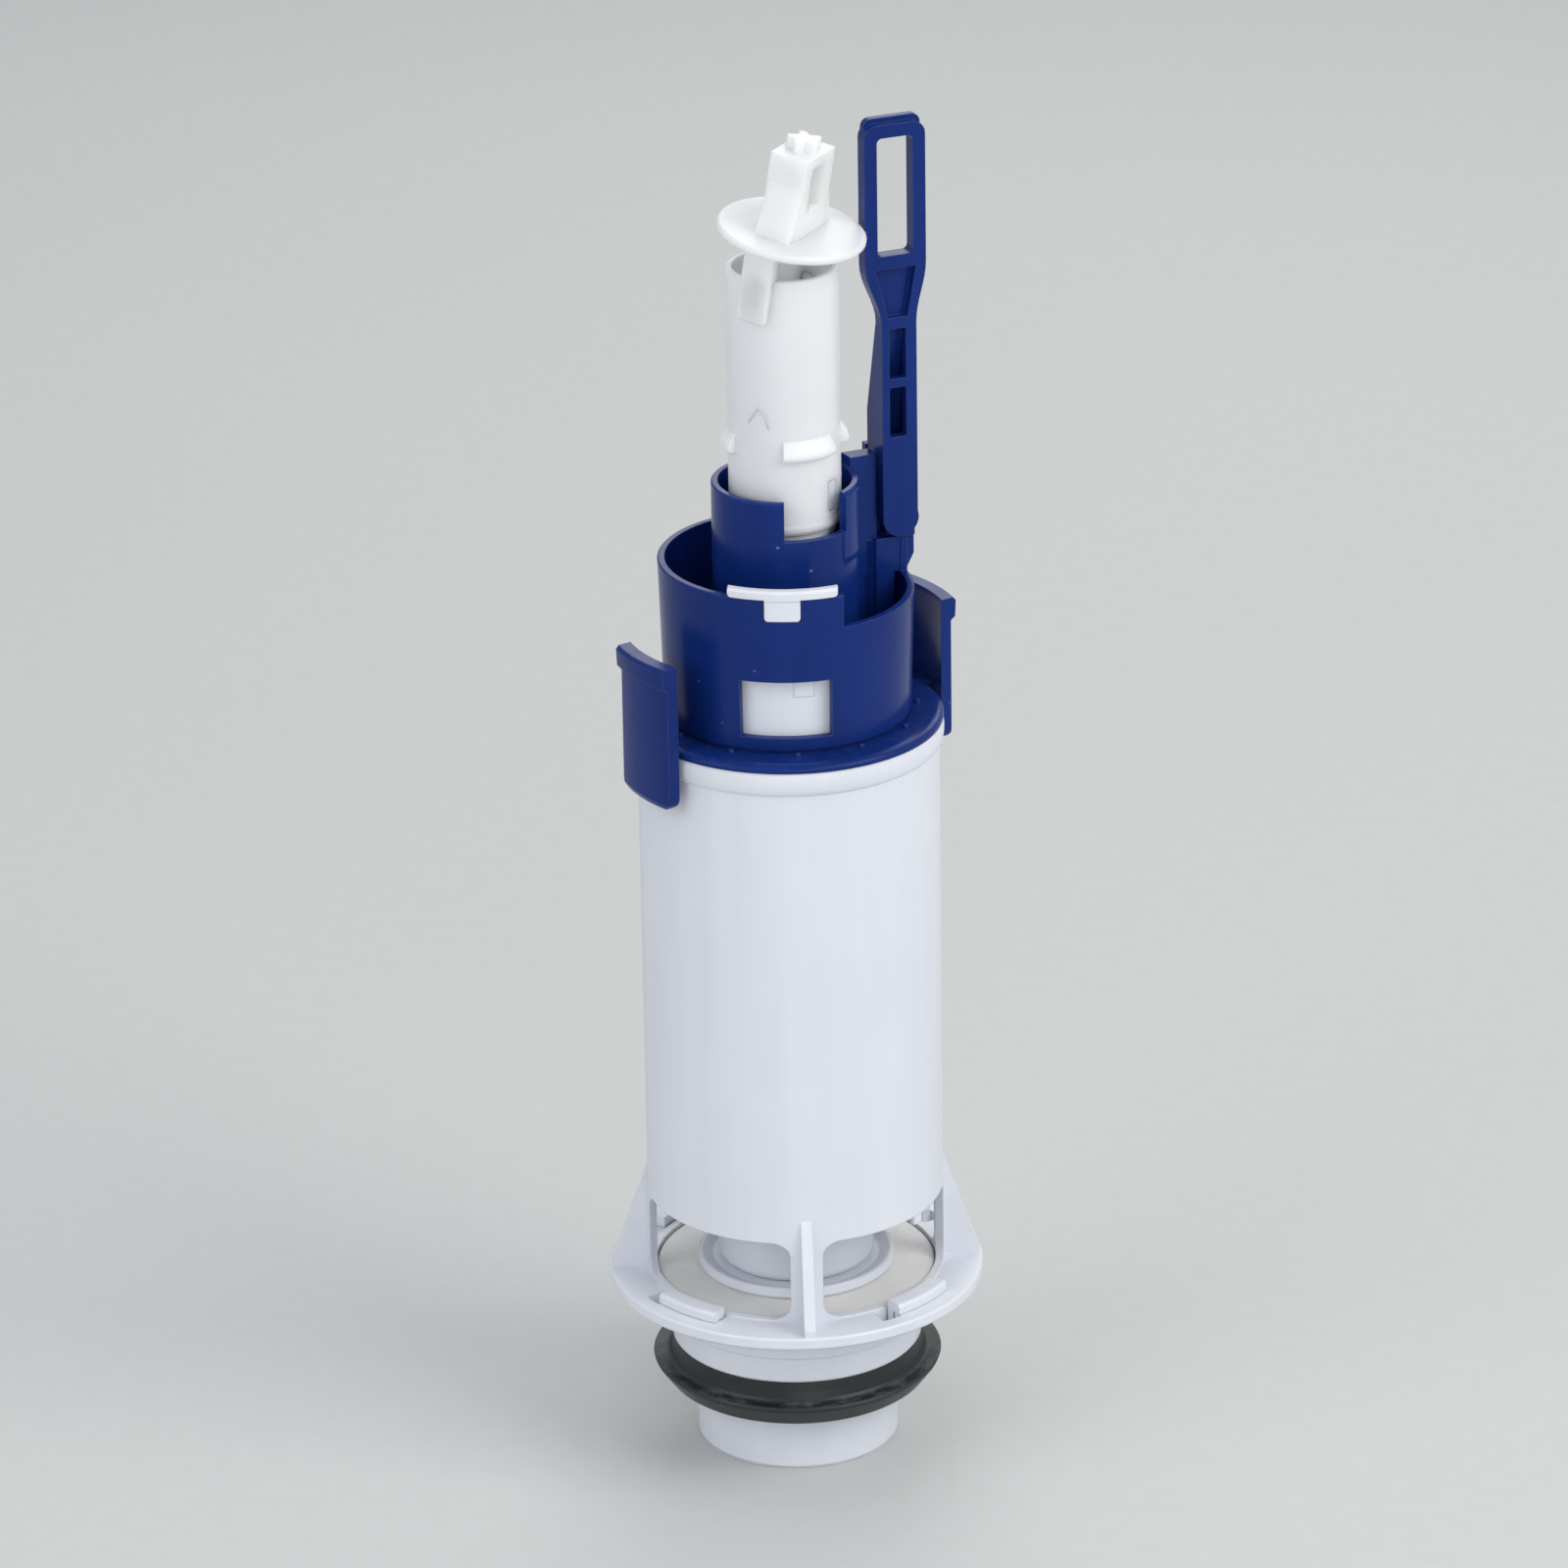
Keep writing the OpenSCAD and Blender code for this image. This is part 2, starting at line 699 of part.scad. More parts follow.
// Slot through the tower's block and the sleeve for the lever's toe
module toe_slot() {
    rotate([0, 0, lever_turn])
        translate([0, toe_v - slide_gap, toe_z - 1])
            cube([bar_in, toe_w + 2 * slide_gap, lift + toe_t + 2]);
    rotate([0, 0, lever_turn])
        translate([bar_in - 1, toe_v - slide_gap, toe_z - 1])
            cube([bar_wall + 1 + 0.3, toe_w + 2 * slide_gap, lever_z + 5 - toe_z]);
}

// White T-shaped clip: a bar on the rim, a stem in its notch and a stop above the float
module volume_clip() {
    stem_in = chamber_rim_r - chamber_wall - 1;
    bar_in_r = chamber_rim_r - chamber_wall - 0.1;
    stem_foot = rim_z - clip_stem_h - 1;
    tail_half = 8;
    color(white) {
        intersection() {
            rotate_extrude()
                polygon([
                    [stem_in, stem_foot], [chamber_rim_r + 0.1, stem_foot],
                    [chamber_rim_r + 0.1, rim_z - 0.4],
                    [chamber_rim_r + 0.3, rim_z - 0.2], [chamber_rim_r + 0.3, rim_z + clip_bar_h - 0.6],
                    [chamber_rim_r - 0.2, rim_z + clip_bar_h], [bar_in_r, rim_z + clip_bar_h],
                    [bar_in_r, rim_z - 0.3], [stem_in, rim_z - 0.6]
                ]);
            rotate([0, 0, view_turn])
                translate([0, 0, rim_z])
                    rotate([90, 0, 90]) linear_extrude(height = chamber_rim_r + 2) clip_face();
        }
        arc_block(stem_in - 1.6, stem_in + 0.1, half_stop_z, rim_z - 0.8 - half_stop_z, tail_half, view_turn);
    }
}

// Front of the clip: the bar and its stem, with round corners
module clip_face() {
    bar_h = clip_bar_h + 0.2;
    translate([-clip_w / 2, 0]) round_rect(clip_w, bar_h, clip_corner);
    translate([-clip_stem_w / 2, 0.2 - clip_stem_h])
        round_rect(clip_stem_w, clip_stem_h + clip_corner, clip_corner);
}

// White half flush float: an upturned box behind the window, on a low guide ring round the sleeve
module half_flush_float() {
    bore = sleeve_r + 2 * slide_gap;
    rim = half_float_r - half_wall;
    color(white) {
        difference() {
            rotate([0, 0, view_turn - half_span])
                rotate_extrude(angle = 2 * half_span)
                    polygon([
                        [bore, half_float_z], [half_float_r, half_float_z],
                        [half_float_r, half_float_top_z - 0.8], [half_float_r - 0.8, half_float_top_z],
                        [bore, half_float_top_z]
                    ]);
            arc_block(bore + half_wall, rim, half_float_z - over, half_float_h - half_wall + over,
                half_span - 4, view_turn);
        }
        ring(bore + 0.2, bore + half_wall + 0.4, half_float_z + 0.3, guide_h);
        arc_block(half_float_r - 0.6, half_float_r + 0.25, view_z + view_h - 4.4, 3.6, 5, view_turn + 10);
    }
}

// Blue lever: a loop for the actuator, a box bar, and a toe that reaches under the stem's collar
module lift_lever() {
    color(blue)
        rotate([0, 0, lever_turn]) {
            lever_loop();
            lever_bar();
            lever_toe();
        }
}

// Outline of the lever above its bar: a curved neck and a loop with round upper corners
module lever_outline(half_loop, top, corner) {
    steps = [0 : 0.125 : 1];
    rise = loop_z - 2 - neck_z;
    left = [for (t = steps) [neck_side(t, -1, half_loop), neck_z + rise * t]];
    right = [for (t = steps) [neck_side(1 - t, 1, half_loop), neck_z + rise * (1 - t)]];
    left_arc = [for (a = [180 : -15 : 90])
        [loop_u - half_loop + corner + corner * cos(a), top - corner + corner * sin(a)]];
    right_arc = [for (a = [90 : -15 : 0])
        [loop_u + half_loop - corner + corner * cos(a), top - corner + corner * sin(a)]];
    polygon(concat(left, left_arc, right_arc, right));
}

// Place of one side of the neck on its way from the bar to the loop
function neck_side(t, side, half_loop) =
    lever_u + side * bar_w / 2 + (loop_shift + side * (half_loop - bar_w / 2)) * (1 - cos(180 * t)) / 2;

// Loop with its window, the raised rear edge and the sunk field below it
module lever_loop() {
    rear_t = 1.8;
    field_d = 2;
    difference() {
        union() {
            upright(bar_face_v, loop_d) lever_outline(loop_w / 2, loop_top_z, 3);
            upright(bar_face_v + loop_d - rear_t, rear_t - 0.1)
                lever_outline(loop_w / 2 - 0.5, lever_top_z, 2);
        }
        upright(bar_face_v - over, loop_d + 2 * over)
            translate([loop_u - loop_w / 2 + loop_wall, loop_z])
                round_rect(loop_w - 2 * loop_wall, loop_len, 1.2);
        upright(bar_face_v - over, field_d + over)
            polygon([
                [lever_u - 2.6, neck_z + 1.6], [loop_u - 4.8, loop_z - 3], [loop_u + 4.8, loop_z - 3],
                [lever_u + 2, neck_z + 1.6]
            ]);
    }
}

// Outline in the plane of v and z, given depth along u
module side_plate(u, depth) {
    translate([u, 0, 0])
        rotate([90, 0, 90])
            linear_extrude(height = depth) children();
}

// Bar of the lever: a front plate, side walls that grow deeper downwards, lips behind the rail
module lever_bar() {
    foot = lever_z + lever_corner;
    slope_z = neck_z - 22;
    loop_back_v = bar_face_v + loop_d;
    difference() {
        union() {
            upright(bar_face_v, plate_t) {
                translate([bar_in, foot]) square([bar_w, neck_z - foot + over]);
                translate([bar_in + lever_corner, lever_z])
                    square([bar_w - lever_corner - 0.8, lever_corner + over]);
                translate([bar_in + lever_corner, foot]) circle(r = lever_corner, $fn = 48);
            }
            for (side = [bar_in, bar_out - bar_wall])
                side_plate(side, bar_wall)
                    polygon([
                        [bar_face_v, foot], [bar_back_v, foot], [bar_back_v, slope_z], [loop_back_v, neck_z],
                        [bar_face_v, neck_z]
                    ]);
            for (side = [bar_in + bar_wall - over, bar_out - bar_wall - lip_w])
                translate([side, bar_back_v - lip_t, foot]) cube([lip_w + over, lip_t, slope_z - foot]);
            side_plate(bar_in + 0.3, bar_w - 0.6)
                polygon([
                    [bar_back_v - lip_t, box_z], [bar_back_v - 0.2, box_z], [bar_back_v - 0.2, slope_z],
                    [loop_back_v - 0.2, neck_z + 0.3], [loop_back_v - lip_t, neck_z + 0.3],
                    [bar_back_v - lip_t, slope_z - 1]
                ]);
            translate([bar_in + 0.3, bar_face_v + over, neck_z - bar_wall])
                cube([bar_w - 0.6, loop_d - over - 0.4, bar_wall + 0.3]);
        }
        for (step = [0, 1])
            upright(bar_face_v - over, plate_t + 2 * over)
                translate([lever_u - slot_w / 2 - 0.4, slot_top_z - slot_h - step * slot_pitch])
                    round_rect(slot_w, slot_h, 0.5);
    }
}

// Leg and toe of the lever, from the inner side wall to the stem's collar
module lever_toe() {
    translate([bar_in, toe_v, toe_z]) cube([bar_wall, toe_w, lever_z + lever_corner + 2 - toe_z]);
    translate([toe_tip_u, toe_v, toe_z]) cube([bar_in + bar_wall - toe_tip_u, toe_w, toe_t]);
}

// Inner overflow pipe with its hub, seal foot, guide vanes and lifting collar
module overflow_pipe() {
    bore = pipe_r - pipe_wall;
    color(white)
        difference() {
            union() {
                rotate_extrude()
                    polygon([
                        [bore, vane_z + 10], [hub_r - 1, vane_z + 10], [hub_r - 1, seal_z - foot_t],
                        [foot_r, seal_z - foot_t], [foot_r, seal_z], [seal_hole_r - 0.2, seal_z],
                        [seal_hole_r - 0.2, seal_top_z], [hub_r, seal_top_z], [hub_r, nut_z + nut_h],
                        [pipe_r, nut_z + nut_h], [pipe_r, lift_collar_z - 4],
                        [lift_collar_r - 2.4, lift_collar_z], [lift_collar_r, lift_collar_z],
                        [lift_collar_r, lift_collar_z + lift_collar_t],
                        [pipe_r, lift_collar_z + lift_collar_t],
                        [pipe_r, tube_z - 1.4], [tube_in_r + 0.4, tube_z - 1.4], [tube_in_r + 0.4, tube_z],
                        [pipe_r, tube_z], [pipe_r, pipe_top_z - 0.6], [pipe_r - 0.6, pipe_top_z],
                        [bore, pipe_top_z]
                    ]);
                for (turn = [0 : 90 : 270])
                    rotate([0, 0, turn + 45])
                        translate([bore + 0.6, -vane_t / 2, vane_z])
                            cube([vane_r - bore - 0.6, vane_t, seal_z - foot_t - vane_z + over]);
                rotate([0, 0, snap_turn])
                    translate([pipe_r - 0.5, -snap_w / 2 + seat_gap, snap_z + seat_gap])
                        cube([tube_r - pipe_r + 0.3, snap_w - 2 * seat_gap, snap_h - 2 * seat_gap]);
            }
            ring(pipe_r - o_ring_depth, pipe_r + 0.3, o_ring_z, o_ring_h);
        }
}

// Silicone washer that closes on the seat
module flush_seal() {
    color(silicone)
        rotate_extrude()
            polygon([
                [seal_hole_r, seal_z], [seal_r - 0.3, seal_z], [seal_r, seal_z + 0.3],
                [seal_r, seal_top_z - 0.3], [seal_r - 0.3, seal_top_z], [seal_hole_r, seal_top_z]
            ]);
}

// White dish that clamps the seal from above
module seal_retainer() {
    color(white)
        rotate_extrude()
            polygon([
                [hub_r + seat_gap, seal_top_z], [dish_r - 0.8, seal_top_z], [dish_r, seal_top_z + 0.8],
                [dish_r, seal_top_z + dish_h - 0.4], [dish_r - 0.4, seal_top_z + dish_h],
                [dish_r - 1, seal_top_z + dish_h], [dish_r - 3.4, nut_z], [hub_r + seat_gap, nut_z]
            ]);
}

// Ring nut on the stem's hub, with a round foot
module retainer_nut() {
    color(white)
        rotate_extrude()
            polygon([
                [hub_r + seat_gap, nut_z],
                for (a = [0 : 15 : 90])
                    [nut_r - nut_round * (1 - sin(a)), nut_z + nut_round * (1 - cos(a))],
                [nut_r, nut_z + nut_h - 1], [nut_r - 1, nut_z + nut_h], [hub_r + seat_gap, nut_z + nut_h]
            ]);
}

// Full flush float: an upturned cup on a central tube
module main_float() {
    bore = pipe_r + seat_gap;
    color(white)
        rotate_extrude()
            polygon([
                [bore, float_z], [bore + float_wall, float_z], [bore + float_wall, float_top_z - float_wall],
                [float_r - float_wall, float_top_z - float_wall], [float_r - float_wall, float_skirt_z],
                [float_r, float_skirt_z], [float_r, float_top_z - 2], [float_r - 2, float_top_z],
                [bore, float_top_z]
            ]);
}

// Open snap ring that holds the float down
module float_clip() {
    color(blue)
        difference() {
            ring(pipe_r + 0.1, pipe_r + 3.2, float_top_z, float_clip_t);
            translate([0, -4, float_top_z - over]) cube([pipe_r + 5, 8, float_clip_t + 2 * over]);
        }
}

// White upper overflow tube with bayonet lugs and the holes for the hook's pegs
module overflow_extension() {
    color(white)
        difference() {
            union() {
                rotate_extrude()
                    polygon([
                        [tube_in_r, tube_z], [tube_r - 0.9, tube_z], [tube_r - 0.2, tube_z + 0.4],
                        [tube_r + 0.2, tube_z + 1.3], [tube_r + 0.25, tube_z + 2.2],
                        [tube_r + 0.1, tube_z + 2.8],
                        [tube_r + 0.1, lug_z - 4], [tube_r, tube_top_z - 0.3], [tube_r - 0.3, tube_top_z],
                        [tube_in_r, tube_top_z]
                    ]);
                for (turn = lug_turns)
                    tube_lug(turn);
            }
            rotate([0, 0, snap_turn])
                translate([tube_in_r - 1, -snap_w / 2, snap_z]) cube([4, snap_w, snap_h]);
            rotate([0, 0, hook_turn])
                translate([-tube_r - 1, 0, peg_z])
                    rotate([0, 90, 0]) cylinder(r = peg_r + peg_gap, h = 2 * tube_r + 2, $fn = 48);
        }
}

// One bayonet lug with a sloping top
module tube_lug(turn) {
    rotate([0, 0, turn - lug_half])
        rotate_extrude(angle = 2 * lug_half)
            polygon([
                [tube_r - 0.5, lug_z], [lug_r - 0.7, lug_z], [lug_r - 0.2, lug_z + 0.4], [lug_r, lug_z + 1.2],
                [lug_r - 0.2, lug_z + 2.1], [lug_r - 0.8, lug_z + 3.2], [tube_r + 0.4, lug_z + 4.3],
                [tube_r - 0.5, lug_z + lug_h]
            ]);
}

// Rubber ring between the two overflow tubes
module overflow_o_ring() {
    color(black)
        ring(pipe_r - o_ring_depth + 0.05, tube_in_r - 0.05, o_ring_z + 0.05, o_ring_h - 0.1);
}

// Milky hook: a splash disc on two legs, and an eye for the actuator
module lift_hook() {
    color(milky)
        translate([0, 0, peg_z])
            rotate([0, 0, hook_turn])
                rotate([-hook_lean, 0, 0]) {
                    translate([0, 0, disc_rise]) splash_disc();
                    for (side = [0, 180])
                        rotate([0, 0, side]) hook_leg();
                    hook_eye();
                }
}

// Thin disc with a rounded edge
module splash_disc() {
    rotate_extrude()
        polygon([
            [0, 0], [disc_r - 0.5, 0], [disc_r, 0.5], [disc_r, disc_t - 0.5], [disc_r - 0.5, disc_t],
            [0, disc_t]
        ]);
}

// Leg outside the tube, with its peg and the shoulder that stops it on the tube's rim
module hook_leg() {
    intersection() {
        upright(-leg_w / 2, leg_w)
            polygon([
                [leg_in_r, 0.9 - leg_low], [leg_in_r + 0.9, -leg_low], [leg_in_r + leg_t, 0.6 - leg_low],
                [leg_in_r + leg_t, disc_rise + 0.2], [leg_in_r, disc_rise + 0.2]
            ]);
        side_plate(leg_in_r - 1, leg_t + 2)
            translate([-leg_w / 2 - 0.1, -leg_low - 0.2])
                round_rect(leg_w + 0.2, disc_rise + leg_low + 4, 2);
    }
    translate([tube_in_r - 0.3, -leg_w / 2, shoulder_low])
        cube([leg_in_r - tube_in_r + 0.8, leg_w, disc_rise - shoulder_low + 0.2]);
    translate([tube_in_r + 0.2, 0, 0])
        rotate([0, 90, 0]) cylinder(r = peg_r, h = leg_in_r - tube_in_r + 0.3, $fn = 48);
}

// Eye above the disc: a braced frame with a window, and a lobed crown
module hook_eye() {
    foot = disc_rise + disc_t - 0.2;
    cap_z = foot + eye_h - crown_h;
    difference() {
        translate([-eye_w / 2, -eye_d / 2, foot]) cube([eye_w, eye_d, eye_h - crown_h]);
        translate([-eye_w / 2 + eye_wall, -eye_d, foot + eye_sill])
            cube([eye_w - 2 * eye_wall, 2 * eye_d, eye_h - crown_h - eye_top - eye_sill]);
    }
    translate([0, 0, cap_z - 0.2])
        linear_extrude(height = crown_h + 0.2)
            polygon([for (turn = [0 : 12 : 348])
                (crown_r - 0.9 + 0.9 * cos(5 * turn)) * [cos(turn), sin(turn)]]);
    for (side = [0, 180])
        rotate([0, 0, side])
            upright(-eye_d / 2 + 0.4, eye_d - 0.8)
                polygon([
                    [eye_w / 2 - 0.5, foot], [eye_w / 2 + brace_reach, foot], [eye_w / 2, foot + brace_h],
                    [eye_w / 2 - 0.5, foot + brace_h]
                ]);
}

outlet_spigot();
outlet_lip_seal();
housing_basket();
head_ring();
control_chamber();
volume_clip();
latch_left();
latch_right();
half_flush_float();
lift_lever();
overflow_pipe();
flush_seal();
seal_retainer();
retainer_nut();
main_float();
float_clip();
overflow_extension();
overflow_o_ring();
lift_hook();
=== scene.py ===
import math
import bmesh
import bpy
from mathutils import Matrix, Vector


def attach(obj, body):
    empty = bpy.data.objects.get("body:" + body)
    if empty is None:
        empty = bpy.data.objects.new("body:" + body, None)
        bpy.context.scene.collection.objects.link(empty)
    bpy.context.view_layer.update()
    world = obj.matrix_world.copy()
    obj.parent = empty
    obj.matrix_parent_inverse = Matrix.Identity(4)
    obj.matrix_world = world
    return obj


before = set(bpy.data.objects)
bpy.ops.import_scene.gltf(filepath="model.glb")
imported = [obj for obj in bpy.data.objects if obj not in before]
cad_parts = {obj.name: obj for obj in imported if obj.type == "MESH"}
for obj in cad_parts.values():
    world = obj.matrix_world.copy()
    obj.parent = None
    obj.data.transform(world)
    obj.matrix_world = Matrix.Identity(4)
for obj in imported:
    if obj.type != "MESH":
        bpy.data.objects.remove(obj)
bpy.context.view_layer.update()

MM = 0.001

# Camera, fitted to the rims of the valve
CAMERA_PLACE = Vector((-118.55, -1695.4, 867.6)) * MM
CAMERA_HEADING = math.radians(-3.96)
CAMERA_PITCH = math.radians(22.622)
CAMERA_ROLL = math.radians(-0.856)
CAMERA_LENS = 189.86
CAMERA_FAR = 20.0
SENSOR_WIDTH = 36.0

# Light: name, place and aim in m, size in m, power in W, colour
VALVE_MIDDLE = (0.0, 0.0, 0.15)
VALVE_FOOT = (0.0, 0.0, 0.02)
LAMPS = (
    ("key_lamp", (0.90, -0.62, 1.05), VALVE_MIDDLE, 0.9, 10.0, (1.0, 0.99, 0.97)),
    ("fill_lamp", (-0.95, -0.62, 0.80), VALVE_MIDDLE, 0.9, 4.1, (0.95, 0.97, 1.0)),
    ("low_lamp", (0.15, -1.35, 0.46), VALVE_FOOT, 0.7, 2.6, (0.98, 0.99, 1.0)),
    ("rim_lamp", (0.2, 1.0, 0.9), VALVE_MIDDLE, 0.8, 3.5, (1.0, 1.0, 1.0)),
)
SKY_COLOUR = (0.95, 0.97, 1.0, 1.0)
SKY_STRENGTH = 0.57

# Linear colours of the finishes
COOL_WHITE = (0.745, 0.770, 0.830, 1.0)
FLOW_WHITE = (0.705, 0.730, 0.795, 1.0)
TUBE_WHITE = (0.885, 0.893, 0.915, 1.0)
TUBE_FLOW = (0.860, 0.868, 0.890, 1.0)
ROYAL_BLUE = (0.0060, 0.0275, 0.178, 1.0)
FLOW_BLUE = (0.0050, 0.0225, 0.148, 1.0)
# Paler blue painted on the edges of the blue parts as a highlight
EDGE_HIGHLIGHT_BLUE = (0.070, 0.110, 0.340, 1.0)
MILKY = (0.830, 0.840, 0.840, 1.0)
MILKY_FLOW = (0.795, 0.805, 0.802, 1.0)
SILICONE = (0.800, 0.790, 0.765, 1.0)
SILICONE_FLOW = (0.750, 0.740, 0.715, 1.0)
RUBBER = (0.0128, 0.0155, 0.0182, 1.0)
RUBBER_FLOW = (0.0168, 0.0200, 0.0230, 1.0)
# Paler grey painted on the edges of the rubber as a highlight
RUBBER_EDGE_HIGHLIGHT = (0.045, 0.049, 0.055, 1.0)
SCUFF_PALE = (0.30, 0.34, 0.50, 1.0)
DUST_GREY = (0.62, 0.61, 0.58, 1.0)
FLOOR_PALE = (0.60, 0.605, 0.60, 1.0)
FLOOR_SHADE = (0.585, 0.59, 0.585, 1.0)

# Body, flow and painted edge highlight colour, roughness, gloss, edge radius in mm,
# then the shares of painted edge highlight, dust and scuffs
FINISHES = {
    "white_plastic": (COOL_WHITE, FLOW_WHITE, COOL_WHITE, 0.36, 0.45, 0.35, 0.30, 0.05, 0.0),
    "tube_plastic": (TUBE_WHITE, TUBE_FLOW, TUBE_WHITE, 0.40, 0.45, 0.30, 0.20, 0.03, 0.0),
    "blue_plastic": (ROYAL_BLUE, FLOW_BLUE, EDGE_HIGHLIGHT_BLUE, 0.22, 0.15, 0.30, 0.85, 0.02, 0.55),
    "milky_plastic": (MILKY, MILKY_FLOW, MILKY, 0.38, 0.45, 0.25, 0.15, 0.02, 0.0),
    "silicone": (SILICONE, SILICONE_FLOW, SILICONE, 0.48, 0.40, 0.30, 0.20, 0.04, 0.0),
    "black_rubber": (RUBBER, RUBBER_FLOW, RUBBER_EDGE_HIGHLIGHT, 0.38, 0.42, 0.35, 0.45, 0.20, 0.35),
}

# Weight, and depth in mm, of the light that goes into a finish
SUBSURFACE = {
    "milky_plastic": (0.95, 8.0),
    "tube_plastic": (0.85, 4.5),
    "silicone": (0.5, 3.0),
}
SUBSURFACE_RADIUS = (1.0, 0.96, 0.88)

NODE_FINISHES = {
    "outlet_spigot": "white_plastic",
    "outlet_lip_seal": "black_rubber",
    "housing_basket": "white_plastic",
    "head_ring": "blue_plastic",
    "control_chamber": "blue_plastic",
    "volume_clip": "white_plastic",
    "latch_left": "blue_plastic",
    "latch_right": "blue_plastic",
    "half_flush_float": "white_plastic",
    "lift_lever": "blue_plastic",
    "overflow_pipe": "white_plastic",
    "flush_seal": "silicone",
    "seal_retainer": "white_plastic",
    "retainer_nut": "white_plastic",
    "main_float": "white_plastic",
    "float_clip": "blue_plastic",
    "overflow_extension": "tube_plastic",
    "overflow_o_ring": "black_rubber",
    "lift_hook": "milky_plastic",
}

# Grain and flow of a moulded surface; scales are in cells per metre
GRAIN_SCALE = 900.0
GRAIN_DEPTH = 0.05 * MM
GRAIN_STRENGTH = 0.2
CLOUD_SCALE = 28.0
STREAK_SCALES = (170.0, 170.0, 9.0)
FLOW_RANGE = (0.75, 1.25)
ROUGHNESS_DROP = 0.03
ROUGHNESS_RISE = 0.05
EDGE_SAMPLES = 6

# Painted highlight on the edges: how well the true and the rounded normal agree, and its patches
EDGE_AGREEMENT = (0.995, 0.86)
HIGHLIGHT_PATCH_SCALE = 160.0
HIGHLIGHT_PATCH_RANGE = (0.35, 0.7)
HIGHLIGHT_PATCH_LEAST = 0.25

# Dust: how far a face looks up, and the specks
DUST_SLOPE = (0.5, 1.0)
DUST_SPECK_SCALE = 220.0
DUST_SPECK_RANGE = (0.48, 0.72)

# Scuffs: one knock in a cell, its radius in cells, and which cells have one
SCUFF_CELL_SCALE = 150.0
SCUFF_RADIUS = (0.055, 0.015)
SCUFF_CHOICE = (0.55, 0.6)
SCUFF_WANDER_SCALE = 900.0
SCUFF_WANDER = 0.0012

# Floor, in m
FLOOR_HALF = 6.0
FLOOR_ROUGHNESS = 0.75
FLOOR_CLOUD_SCALE = 2.2

# Studs on the head ring, in mm
STUD_COUNT = 12
STUD_RADIUS = 28.7
STUD_FOOT_Z = 177.8
STUD_WIDTH = 1.5
STUD_HEIGHT = 0.8
STUD_SIDES = 20
STUD_FOOT_SHARE = 0.5
STUD_CROWN_SHARE = 0.34

# Ridges on the upper tube: turns in degrees, lengths in mm
TUBE_RADIUS = 12.3
MARK_PATH = (
    (-133.0, 248.5),
    (-128.7, 249.9),
    (-121.8, 252.3),
    (-116.6, 251.5),
    (-113.0, 250.0),
    (-109.9, 247.6),
)
MARK_HALF_WIDTH = 0.28
MARK_RISE = 0.11
GATE_PLACE = (-119.7, 233.2)
GATE_RADIUS = 1.9
GATE_HALF_WIDTH = 0.16
GATE_RISE = 0.08
GATE_STEPS = 32
# Shares of the half width and of the rise, across a ridge
RIDGE_PROFILE = ((-1.0, -0.1), (-0.55, 0.75), (0.0, 1.0), (0.55, 0.75), (1.0, -0.1))
RIDGE_TIP_SHARE = 0.3
RIDGE_TIP_GROWTH = 0.5


def add_object(name, data):
    """New object in the scene."""
    item = bpy.data.objects.new(name, data)
    bpy.context.scene.collection.objects.link(item)
    return item


def make_camera():
    """Camera at the photograph's viewing angle."""
    data = bpy.data.cameras.new("camera")
    data.lens = CAMERA_LENS
    data.sensor_width = SENSOR_WIDTH
    data.clip_end = CAMERA_FAR
    camera = add_object("camera", data)
    turn = Matrix.Rotation(CAMERA_HEADING, 4, "Z")
    tilt = Matrix.Rotation(math.pi / 2 - CAMERA_PITCH, 4, "X")
    roll = Matrix.Rotation(CAMERA_ROLL, 4, "Z")
    camera.matrix_world = Matrix.Translation(CAMERA_PLACE) @ turn @ tilt @ roll
    bpy.context.scene.camera = camera


def area_lamp(name, place, aim, size, power, colour):
    """Soft square lamp that faces a point."""
    data = bpy.data.lights.new(name, "AREA")
    data.shape = "SQUARE"
    data.size = size
    data.energy = power
    data.color = colour
    lamp = add_object(name, data)
    lamp.location = place
    lamp.rotation_euler = (Vector(aim) - Vector(place)).to_track_quat("-Z", "Y").to_euler()


def make_studio():
    """Soft light from the upper right, weaker lamps on the other sides and an even sky."""
    world = bpy.data.worlds.new("studio")
    bpy.context.scene.world = world
    world.use_nodes = True
    sky = world.node_tree.nodes["Background"]
    sky.inputs["Color"].default_value = SKY_COLOUR
    sky.inputs["Strength"].default_value = SKY_STRENGTH
    for lamp in LAMPS:
        area_lamp(*lamp)
    bpy.context.scene.view_settings.view_transform = "Standard"


def node_group(name, inputs, outputs):
    """Empty shader group with named sockets, and its two end nodes."""
    tree = bpy.data.node_groups.new(name, "ShaderNodeTree")
    for label, kind, value in inputs:
        socket = tree.interface.new_socket(label, in_out="INPUT", socket_type=kind)
        if value is not None:
            socket.default_value = value
    for label, kind in outputs:
        tree.interface.new_socket(label, in_out="OUTPUT", socket_type=kind)
    return tree, tree.nodes.new("NodeGroupInput"), tree.nodes.new("NodeGroupOutput")


def place_group(tree, group):
    """Shader group as a node."""
    node = tree.nodes.new("ShaderNodeGroup")
    node.node_tree = group
    return node


def add_noise(tree, detail, roughness, scale=None):
    """Noise node; without a scale, that socket is linked later."""
    noise = tree.nodes.new("ShaderNodeTexNoise")
    noise.inputs["Detail"].default_value = detail
    noise.inputs["Roughness"].default_value = roughness
    if scale is not None:
        noise.inputs["Scale"].default_value = scale
    return noise


def add_math(tree, operation):
    """Math node for one operation."""
    node = tree.nodes.new("ShaderNodeMath")
    node.operation = operation
    return node


def map_range(tree, span, out_low=0.0, out_high=1.0):
    """Node that maps a span of values to another one."""
    node = tree.nodes.new("ShaderNodeMapRange")
    node.inputs["From Min"].default_value = span[0]
    node.inputs["From Max"].default_value = span[1]
    node.inputs["To Min"].default_value = out_low
    node.inputs["To Max"].default_value = out_high
    return node


